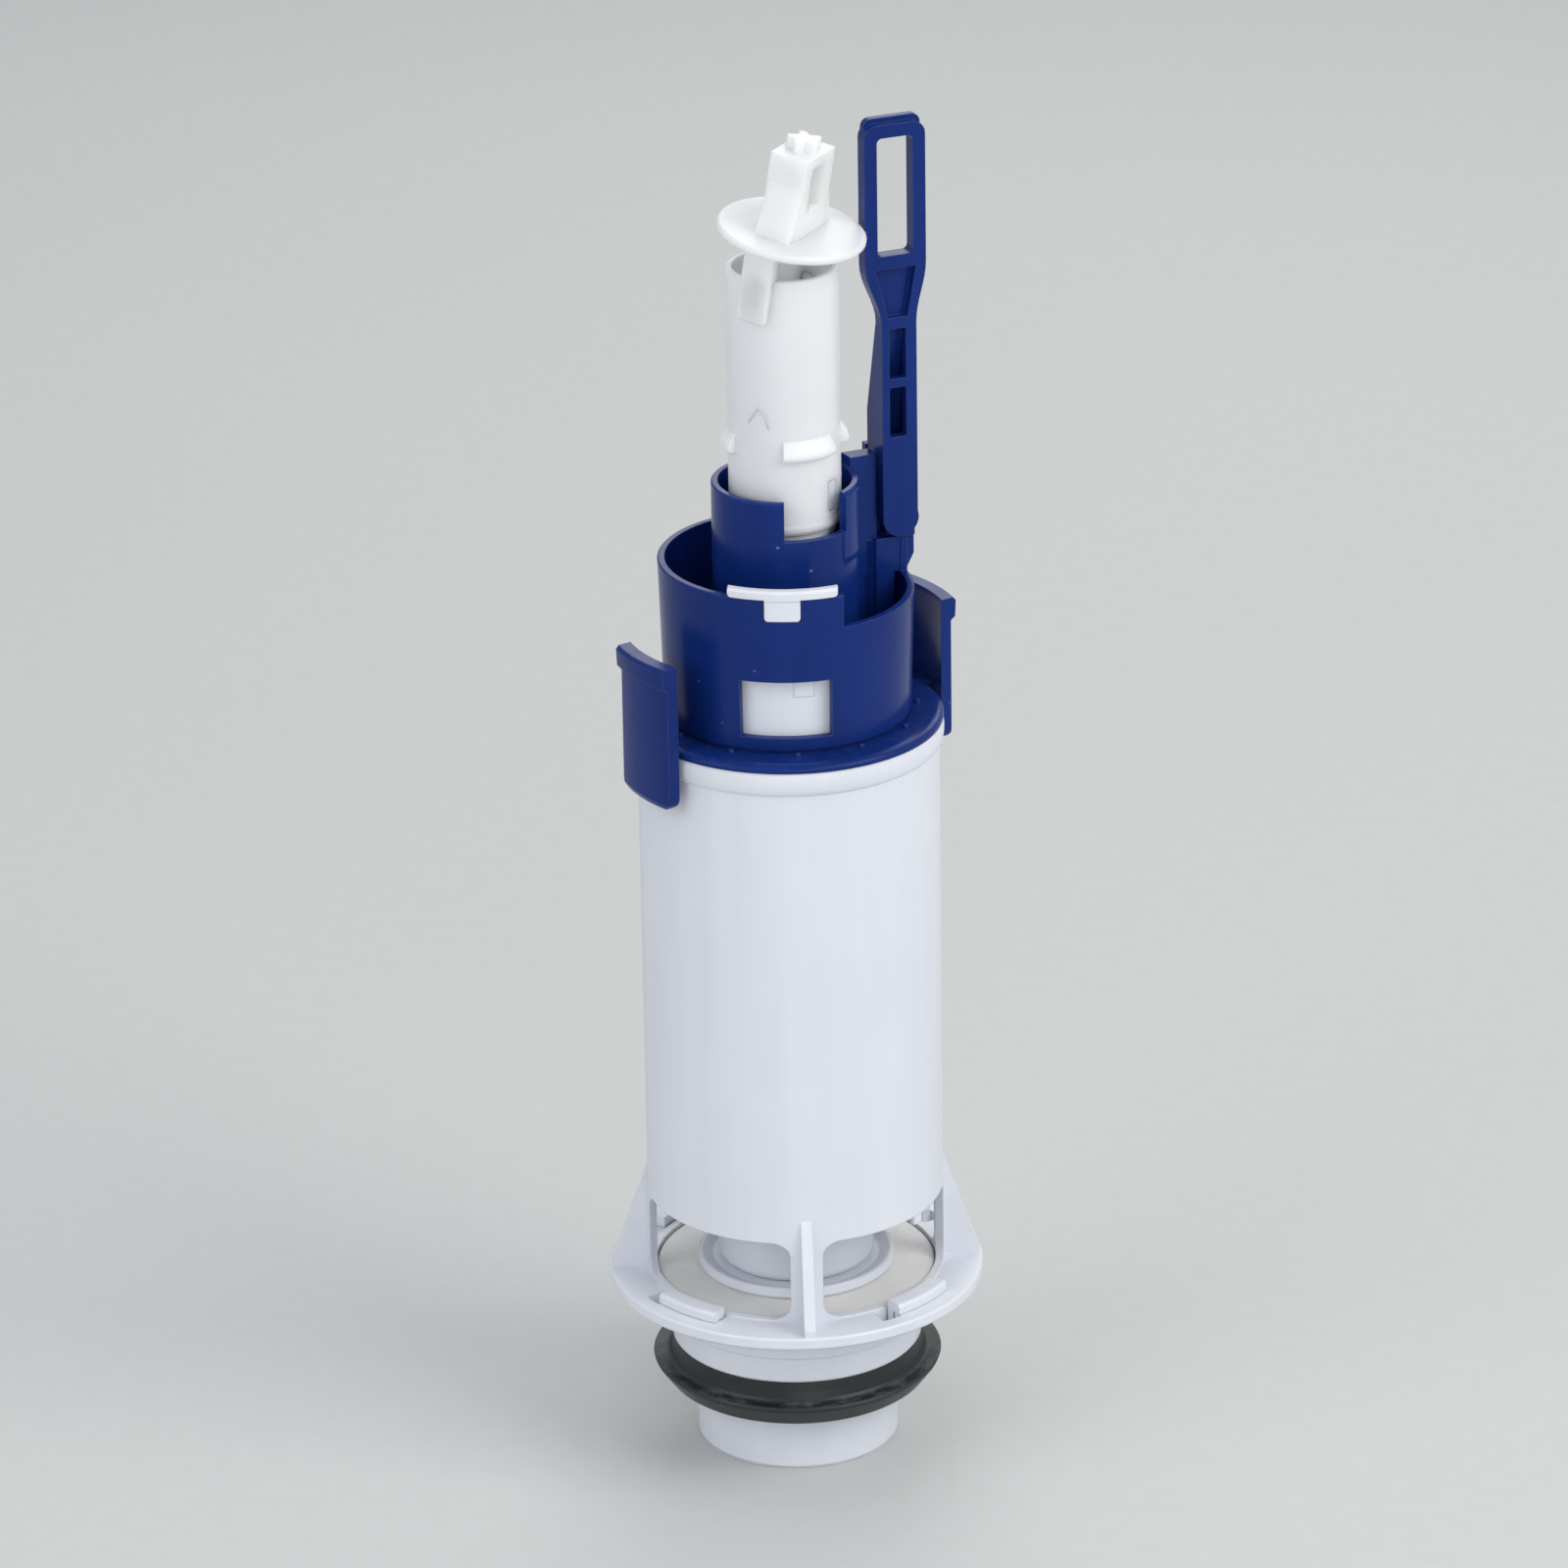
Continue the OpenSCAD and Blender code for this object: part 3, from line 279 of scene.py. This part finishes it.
def link_all(tree, *pairs):
    """Link each output to its input."""
    for source, target in pairs:
        tree.links.new(source, target)


def end_mask(tree, start, end, first, second):
    """End of a mask group: two masks multiplied, times the group's amount."""
    both = add_math(tree, "MULTIPLY")
    scaled = add_math(tree, "MULTIPLY")
    link_all(
        tree,
        (first, both.inputs[0]),
        (second, both.inputs[1]),
        (both.outputs["Value"], scaled.inputs[0]),
        (start.outputs["Amount"], scaled.inputs[1]),
        (scaled.outputs["Value"], end.inputs["Mask"]),
    )


def make_moulded_skin():
    """Fine grain of a moulded surface, with the slow cloud and the upright streaks of its flow."""
    tree, start, end = node_group(
        "moulded_skin",
        [
            ("Position", "NodeSocketVector", None),
            ("Grain Scale", "NodeSocketFloat", GRAIN_SCALE),
            ("Cloud Scale", "NodeSocketFloat", CLOUD_SCALE),
        ],
        [("Grain", "NodeSocketFloat"), ("Flow", "NodeSocketFloat")],
    )
    grain = add_noise(tree, 3.0, 0.6)
    cloud = add_noise(tree, 2.0, 0.5)
    stretch = tree.nodes.new("ShaderNodeMapping")
    stretch.inputs["Scale"].default_value = STREAK_SCALES
    streak = add_noise(tree, 2.0, 0.5, 1.0)
    both = add_math(tree, "ADD")
    spread = map_range(tree, FLOW_RANGE)
    link_all(
        tree,
        (start.outputs["Position"], grain.inputs["Vector"]),
        (start.outputs["Position"], cloud.inputs["Vector"]),
        (start.outputs["Position"], stretch.inputs["Vector"]),
        (stretch.outputs["Vector"], streak.inputs["Vector"]),
        (start.outputs["Grain Scale"], grain.inputs["Scale"]),
        (start.outputs["Cloud Scale"], cloud.inputs["Scale"]),
        (cloud.outputs["Fac"], both.inputs[0]),
        (streak.outputs["Fac"], both.inputs[1]),
        (both.outputs["Value"], spread.inputs["Value"]),
        (grain.outputs["Fac"], end.inputs["Grain"]),
        (spread.outputs["Result"], end.inputs["Flow"]),
    )
    return tree


def make_edge_highlight():
    """Mask of the edges, where a pale highlight is painted into the colour."""
    tree, start, end = node_group(
        "painted_edge_highlight",
        [
            ("Position", "NodeSocketVector", None),
            ("Rounded Normal", "NodeSocketVector", None),
            ("Amount", "NodeSocketFloat", 1.0),
        ],
        [("Mask", "NodeSocketFloat")],
    )
    surface = tree.nodes.new("ShaderNodeNewGeometry")
    agree = tree.nodes.new("ShaderNodeVectorMath")
    agree.operation = "DOT_PRODUCT"
    edge = map_range(tree, EDGE_AGREEMENT)
    patches = add_noise(tree, 4.0, 0.6, HIGHLIGHT_PATCH_SCALE)
    uneven = map_range(tree, HIGHLIGHT_PATCH_RANGE, HIGHLIGHT_PATCH_LEAST, 1.0)
    link_all(
        tree,
        (surface.outputs["Normal"], agree.inputs[0]),
        (start.outputs["Rounded Normal"], agree.inputs[1]),
        (agree.outputs["Value"], edge.inputs["Value"]),
        (start.outputs["Position"], patches.inputs["Vector"]),
        (patches.outputs["Fac"], uneven.inputs["Value"]),
    )
    end_mask(tree, start, end, edge.outputs["Result"], uneven.outputs["Result"])
    return tree


def make_settled_dust():
    """Mask of the thin dust that gathers on faces that look up."""
    tree, start, end = node_group(
        "settled_dust",
        [("Position", "NodeSocketVector", None), ("Amount", "NodeSocketFloat", 0.2)],
        [("Mask", "NodeSocketFloat")],
    )
    surface = tree.nodes.new("ShaderNodeNewGeometry")
    split = tree.nodes.new("ShaderNodeSeparateXYZ")
    upward = map_range(tree, DUST_SLOPE)
    specks = add_noise(tree, 6.0, 0.7, DUST_SPECK_SCALE)
    thin = map_range(tree, DUST_SPECK_RANGE)
    link_all(
        tree,
        (surface.outputs["Normal"], split.inputs["Vector"]),
        (split.outputs["Z"], upward.inputs["Value"]),
        (start.outputs["Position"], specks.inputs["Vector"]),
        (specks.outputs["Fac"], thin.inputs["Value"]),
    )
    end_mask(tree, start, end, upward.outputs["Result"], thin.outputs["Result"])
    return tree


def make_scuffs():
    """Mask of tiny pale knocks, each in a cell of its own, in some of the cells."""
    tree, start, end = node_group(
        "scuffs",
        [("Position", "NodeSocketVector", None), ("Amount", "NodeSocketFloat", 0.5)],
        [("Mask", "NodeSocketFloat")],
    )
    wander = add_noise(tree, 2.0, 0.5, SCUFF_WANDER_SCALE)
    ragged = tree.nodes.new("ShaderNodeVectorMath")
    ragged.operation = "MULTIPLY_ADD"
    ragged.inputs[1].default_value = (SCUFF_WANDER, SCUFF_WANDER, SCUFF_WANDER)
    cells = tree.nodes.new("ShaderNodeTexVoronoi")
    cells.inputs["Scale"].default_value = SCUFF_CELL_SCALE
    spot = map_range(tree, SCUFF_RADIUS)
    chosen = tree.nodes.new("ShaderNodeSeparateColor")
    some = map_range(tree, SCUFF_CHOICE)
    link_all(
        tree,
        (start.outputs["Position"], wander.inputs["Vector"]),
        (wander.outputs["Color"], ragged.inputs[0]),
        (start.outputs["Position"], ragged.inputs[2]),
        (ragged.outputs["Vector"], cells.inputs["Vector"]),
        (cells.outputs["Distance"], spot.inputs["Value"]),
        (cells.outputs["Color"], chosen.inputs["Color"]),
        (chosen.outputs["Red"], some.inputs["Value"]),
    )
    end_mask(tree, start, end, spot.outputs["Result"], some.outputs["Result"])
    return tree


def colour_socket(sockets, name):
    """Colour socket of a mix node, past its sockets for other types."""
    return next(s for s in sockets if s.name == name and s.type == "RGBA")


def mix_layer(tree, mask):
    """Colour mix led by a mask: its lower, upper and mixed colour."""
    node = tree.nodes.new("ShaderNodeMix")
    node.data_type = "RGBA"
    factor = next(s for s in node.inputs if s.name == "Factor" and s.type == "VALUE")
    tree.links.new(mask, factor)
    lower = colour_socket(node.inputs, "A")
    upper = colour_socket(node.inputs, "B")
    return lower, upper, colour_socket(node.outputs, "Result")


def moulded(name, groups):
    """Moulded material: flow, a painted highlight on the edges, scuffs, dust, fine grain and
    softly rounded edges.
    """
    body, flow, edge_highlight, roughness, gloss, edge_radius, edge_highlight_share, dust, scuff = FINISHES[name]
    material = bpy.data.materials.new(name)
    material.use_nodes = True
    tree = material.node_tree
    shader = tree.nodes["Principled BSDF"]
    shader.inputs["Specular IOR Level"].default_value = gloss
    where = tree.nodes.new("ShaderNodeTexCoord")
    skin = place_group(tree, groups["skin"])
    edge = place_group(tree, groups["edge"])
    knocks = place_group(tree, groups["scuffs"])
    settled = place_group(tree, groups["dust"])
    edge.inputs["Amount"].default_value = edge_highlight_share
    knocks.inputs["Amount"].default_value = scuff
    settled.inputs["Amount"].default_value = dust
    rounded = tree.nodes.new("ShaderNodeBevel")
    rounded.samples = EDGE_SAMPLES
    rounded.inputs["Radius"].default_value = edge_radius * MM
    bump = tree.nodes.new("ShaderNodeBump")
    bump.inputs["Strength"].default_value = GRAIN_STRENGTH
    bump.inputs["Distance"].default_value = GRAIN_DEPTH
    for node in (skin, edge, knocks, settled):
        tree.links.new(where.outputs["Object"], node.inputs["Position"])
    link_all(
        tree,
        (rounded.outputs["Normal"], edge.inputs["Rounded Normal"]),
        (rounded.outputs["Normal"], bump.inputs["Normal"]),
        (skin.outputs["Grain"], bump.inputs["Height"]),
        (bump.outputs["Normal"], shader.inputs["Normal"]),
    )
    lower, upper, colour = mix_layer(tree, skin.outputs["Flow"])
    lower.default_value = body
    upper.default_value = flow
    # First a highlight painted pale on the edges, then the scuffs and the dust
    for mask, over in (
        (edge.outputs["Mask"], edge_highlight),
        (knocks.outputs["Mask"], SCUFF_PALE),
        (settled.outputs["Mask"], DUST_GREY),
    ):
        lower, upper, mixed = mix_layer(tree, mask)
        tree.links.new(colour, lower)
        upper.default_value = over
        colour = mixed
    sheen = map_range(tree, (0.0, 1.0), roughness - ROUGHNESS_DROP, roughness + ROUGHNESS_RISE)
    link_all(
        tree,
        (colour, shader.inputs["Base Color"]),
        (skin.outputs["Flow"], sheen.inputs["Value"]),
        (sheen.outputs["Result"], shader.inputs["Roughness"]),
    )
    return material


def make_floor(groups):
    """Pale plain floor under the valve."""
    half = FLOOR_HALF
    corners = [(-half, -half, 0), (half, -half, 0), (half, half, 0), (-half, half, 0)]
    mesh = bpy.data.meshes.new("floor")
    mesh.from_pydata(corners, [], [(0, 1, 2, 3)])
    floor = add_object("floor", mesh)
    material = bpy.data.materials.new("pale_floor")
    material.use_nodes = True
    tree = material.node_tree
    shader = tree.nodes["Principled BSDF"]
    shader.inputs["Roughness"].default_value = FLOOR_ROUGHNESS
    where = tree.nodes.new("ShaderNodeTexCoord")
    skin = place_group(tree, groups["skin"])
    skin.inputs["Cloud Scale"].default_value = FLOOR_CLOUD_SCALE
    lower, upper, colour = mix_layer(tree, skin.outputs["Flow"])
    lower.default_value = FLOOR_PALE
    upper.default_value = FLOOR_SHADE
    link_all(
        tree,
        (where.outputs["Object"], skin.inputs["Position"]),
        (colour, shader.inputs["Base Color"]),
    )
    floor.data.materials.append(material)


def make_finishes(groups):
    """The materials of the valve; light goes some way into the tube, the hook and the seal."""
    made = {name: moulded(name, groups) for name in FINISHES}
    for name, (weight, depth) in SUBSURFACE.items():
        shader = made[name].node_tree.nodes["Principled BSDF"]
        shader.inputs["Subsurface Weight"].default_value = weight
        shader.inputs["Subsurface Radius"].default_value = SUBSURFACE_RADIUS
        shader.inputs["Subsurface Scale"].default_value = depth * MM
    return made


def dress_nodes(finishes):
    """Give each CAD node its material."""
    for name, finish in NODE_FINISHES.items():
        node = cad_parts[name]
        node.data.materials.clear()
        node.data.materials.append(finishes[finish])


def stud_tree(material):
    """Geometry nodes: tapered studs on a circle, and the identifiers of the inputs."""
    tree = bpy.data.node_groups.new("stud_ring", "GeometryNodeTree")
    sockets = {}
    for label, kind in (
        ("Count", "NodeSocketInt"),
        ("Ring Radius", "NodeSocketFloat"),
        ("Foot Height", "NodeSocketFloat"),
        ("Stud Width", "NodeSocketFloat"),
        ("Stud Height", "NodeSocketFloat"),
    ):
        socket = tree.interface.new_socket(label, in_out="INPUT", socket_type=kind)
        sockets[label] = socket.identifier
    tree.interface.new_socket("Geometry", in_out="OUTPUT", socket_type="NodeSocketGeometry")
    start = tree.nodes.new("NodeGroupInput")
    end = tree.nodes.new("NodeGroupOutput")
    circle = tree.nodes.new("GeometryNodeMeshCircle")
    points = tree.nodes.new("GeometryNodeMeshToPoints")
    stud = tree.nodes.new("GeometryNodeMeshCone")
    stud.inputs["Vertices"].default_value = STUD_SIDES
    foot = add_math(tree, "MULTIPLY")
    foot.inputs[1].default_value = STUD_FOOT_SHARE
    crown = add_math(tree, "MULTIPLY")
    crown.inputs[1].default_value = STUD_CROWN_SHARE
    place = tree.nodes.new("GeometryNodeInstanceOnPoints")
    lift = tree.nodes.new("ShaderNodeCombineXYZ")
    raise_ring = tree.nodes.new("GeometryNodeTransform")
    realize = tree.nodes.new("GeometryNodeRealizeInstances")
    finish = tree.nodes.new("GeometryNodeSetMaterial")
    finish.inputs["Material"].default_value = material
    link_all(
        tree,
        (start.outputs["Count"], circle.inputs["Vertices"]),
        (start.outputs["Ring Radius"], circle.inputs["Radius"]),
        (circle.outputs["Mesh"], points.inputs["Mesh"]),
        (start.outputs["Stud Width"], foot.inputs[0]),
        (start.outputs["Stud Width"], crown.inputs[0]),
        (foot.outputs["Value"], stud.inputs["Radius Bottom"]),
        (crown.outputs["Value"], stud.inputs["Radius Top"]),
        (start.outputs["Stud Height"], stud.inputs["Depth"]),
        (points.outputs["Points"], place.inputs["Points"]),
        (stud.outputs["Mesh"], place.inputs["Instance"]),
        (start.outputs["Foot Height"], lift.inputs["Z"]),
        (place.outputs["Instances"], raise_ring.inputs["Geometry"]),
        (lift.outputs["Vector"], raise_ring.inputs["Translation"]),
        (raise_ring.outputs["Geometry"], realize.inputs["Geometry"]),
        (realize.outputs["Geometry"], finish.inputs["Geometry"]),
        (finish.outputs["Geometry"], end.inputs["Geometry"]),
    )
    return tree, sockets


def make_studs(material):
    """Small studs on the blue ring, round the foot of the control chamber."""
    tree, sockets = stud_tree(material)
    maker = add_object("stud_maker", bpy.data.meshes.new("stud_maker"))
    modifier = maker.modifiers.new("studs", "NODES")
    modifier.node_group = tree
    modifier[sockets["Count"]] = STUD_COUNT
    modifier[sockets["Ring Radius"]] = STUD_RADIUS * MM
    modifier[sockets["Foot Height"]] = STUD_FOOT_Z * MM
    modifier[sockets["Stud Width"]] = STUD_WIDTH * MM
    modifier[sockets["Stud Height"]] = STUD_HEIGHT * MM
    finished = maker.evaluated_get(bpy.context.evaluated_depsgraph_get())
    shape = bpy.data.meshes.new_from_object(finished)
    bpy.data.objects.remove(maker)
    studs = add_object("ring_studs", shape)
    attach(studs, "housing")


def ridge_rows(mesh, path, half_width, rise, closed):
    """Points of a ridge on the upper tube, one row across it for each step of its path."""
    rows = []
    last = len(path) - 1
    for i, (turn, height) in enumerate(path):
        before = path[i - 1] if i > 0 or closed else path[i]
        after = path[(i + 1) % len(path)] if i < last or closed else path[i]
        round_tube = math.radians(after[0] - before[0]) * TUBE_RADIUS
        along = Vector((round_tube, after[1] - before[1])).normalized()
        grown = RIDGE_TIP_SHARE + min(i, last - i) * RIDGE_TIP_GROWTH
        taper = 1.0 if closed else min(1.0, grown)
        row = []
        for share, lift in RIDGE_PROFILE:
            aside = share * half_width * taper
            angle = math.radians(turn) - along.y * aside / TUBE_RADIUS
            radius = TUBE_RADIUS + rise * lift
            spot = (radius * math.cos(angle), radius * math.sin(angle), height + along.x * aside)
            row.append(mesh.verts.new(Vector(spot) * MM))
        rows.append(row)
    return rows


def tube_ridge(name, path, half_width, rise, closed, material):
    """Low round-backed ridge on the upper tube, along a path of turns and heights."""
    mesh = bmesh.new()
    rows = ridge_rows(mesh, path, half_width, rise, closed)
    following = rows[1:] + rows[:1] if closed else rows[1:]
    for first, second in zip(rows, following):
        for k in range(len(first) - 1):
            mesh.faces.new((first[k], first[k + 1], second[k + 1], second[k]))
        mesh.faces.new((first[-1], first[0], second[0], second[-1]))
    if not closed:
        mesh.faces.new(rows[0][::-1])
        mesh.faces.new(rows[-1])
    bmesh.ops.recalc_face_normals(mesh, faces=mesh.faces)
    shape = bpy.data.meshes.new(name)
    mesh.to_mesh(shape)
    mesh.free()
    for face in shape.polygons:
        face.use_smooth = True
    ridge = add_object(name, shape)
    ridge.data.materials.append(material)
    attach(ridge, "stem")


def gate_path():
    """Closed path round the injection point of the upper tube."""
    path = []
    for step in range(GATE_STEPS):
        angle = step * math.tau / GATE_STEPS
        turn = math.degrees(GATE_RADIUS * math.cos(angle) / TUBE_RADIUS)
        path.append((GATE_PLACE[0] + turn, GATE_PLACE[1] + GATE_RADIUS * math.sin(angle)))
    return path


make_camera()
make_studio()
shader_groups = {
    "skin": make_moulded_skin(),
    "edge": make_edge_highlight(),
    "dust": make_settled_dust(),
    "scuffs": make_scuffs(),
}
make_floor(shader_groups)
valve_finishes = make_finishes(shader_groups)
dress_nodes(valve_finishes)
make_studs(valve_finishes["blue_plastic"])
mark_white = valve_finishes["white_plastic"]
tube_ridge("tube_mark", MARK_PATH, MARK_HALF_WIDTH, MARK_RISE, False, mark_white)
tube_ridge("tube_gate_ring", gate_path(), GATE_HALF_WIDTH, GATE_RISE, True, mark_white)
